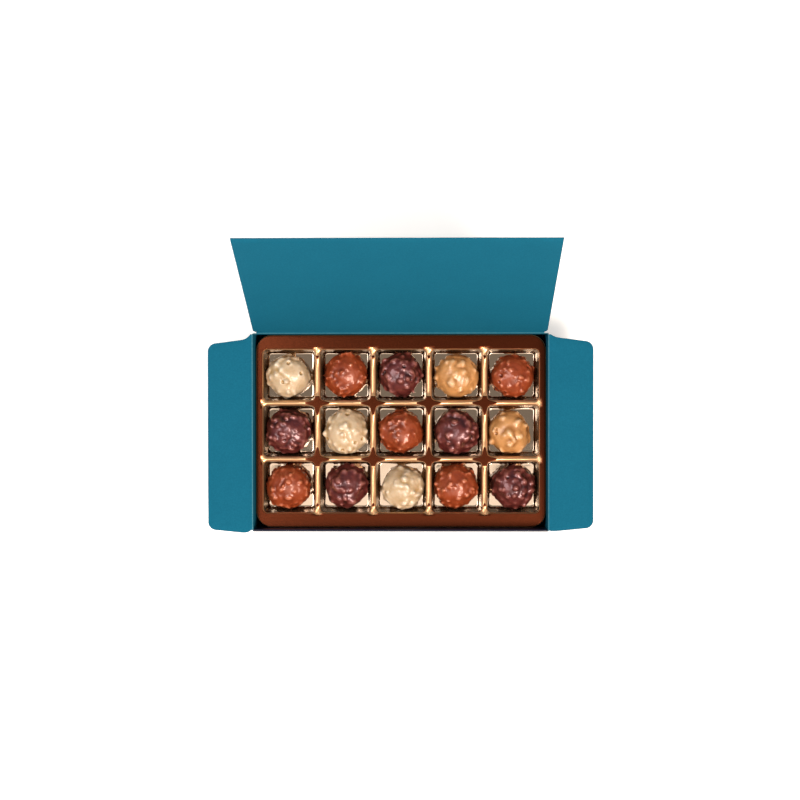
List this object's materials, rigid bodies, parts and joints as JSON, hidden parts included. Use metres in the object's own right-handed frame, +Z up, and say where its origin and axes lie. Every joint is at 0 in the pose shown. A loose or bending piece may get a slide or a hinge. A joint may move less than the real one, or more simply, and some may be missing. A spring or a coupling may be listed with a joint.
{
  "type": "box of chocolate pralines",
  "caption": "Open folding carton with a hinged lid, side flaps and a formed tray holding nut-studded chocolate pralines, each in its own cell.",
  "frame": {"origin": "centre of the carton's underside, on the surface it rests on", "axes": "+X along a row of pralines, +Y towards the lid's hinge, +Z up"},
  "size_m": [0.239, 0.1728, 0.1479],
  "materials": {
    "board_outside": "satin",
    "board_inside": "matte",
    "tray": "gloss",
    "white_chocolate": "satin",
    "milk_chocolate": "satin",
    "dark_chocolate": "satin",
    "caramel_chocolate": "satin"
  },
  "bodies": {
    "carton": {"carton_body": "board_outside", "tray": "tray", "praline_1_1": "white_chocolate", "praline_1_2": "milk_chocolate", "praline_1_3": "dark_chocolate", "praline_1_4": "caramel_chocolate", "praline_1_5": "milk_chocolate", "praline_2_1": "dark_chocolate", "praline_2_2": "white_chocolate", "praline_2_3": "milk_chocolate", "praline_2_4": "dark_chocolate", "praline_2_5": "caramel_chocolate", "praline_3_1": "milk_chocolate", "praline_3_2": "dark_chocolate", "praline_3_3": "white_chocolate", "praline_3_4": "milk_chocolate", "praline_3_5": "dark_chocolate"},
    "lid": {"lid": "board_inside"},
    "flap_left": {"flap_left": "board_inside"},
    "flap_right": {"flap_right": "board_inside"}
  },
  "joints": [
    {"name": "lid_hinge", "type": "hinge", "parent": "carton", "child": "lid", "pos_m": [0, 0.0623, 0.0345], "axis": [1, 0, 0], "range_deg": [-80, 112.9]},
    {"name": "flap_left_hinge", "type": "hinge", "parent": "carton", "child": "flap_left", "pos_m": [-0.0926, 0, 0.0336], "axis": [0, 1, 0], "range_deg": [-85, 179.9]},
    {"name": "flap_right_hinge", "type": "hinge", "parent": "carton", "child": "flap_right", "pos_m": [0.0926, 0, 0.0336], "axis": [0, -1, 0], "range_deg": [-85, 179.9]}
  ]
}
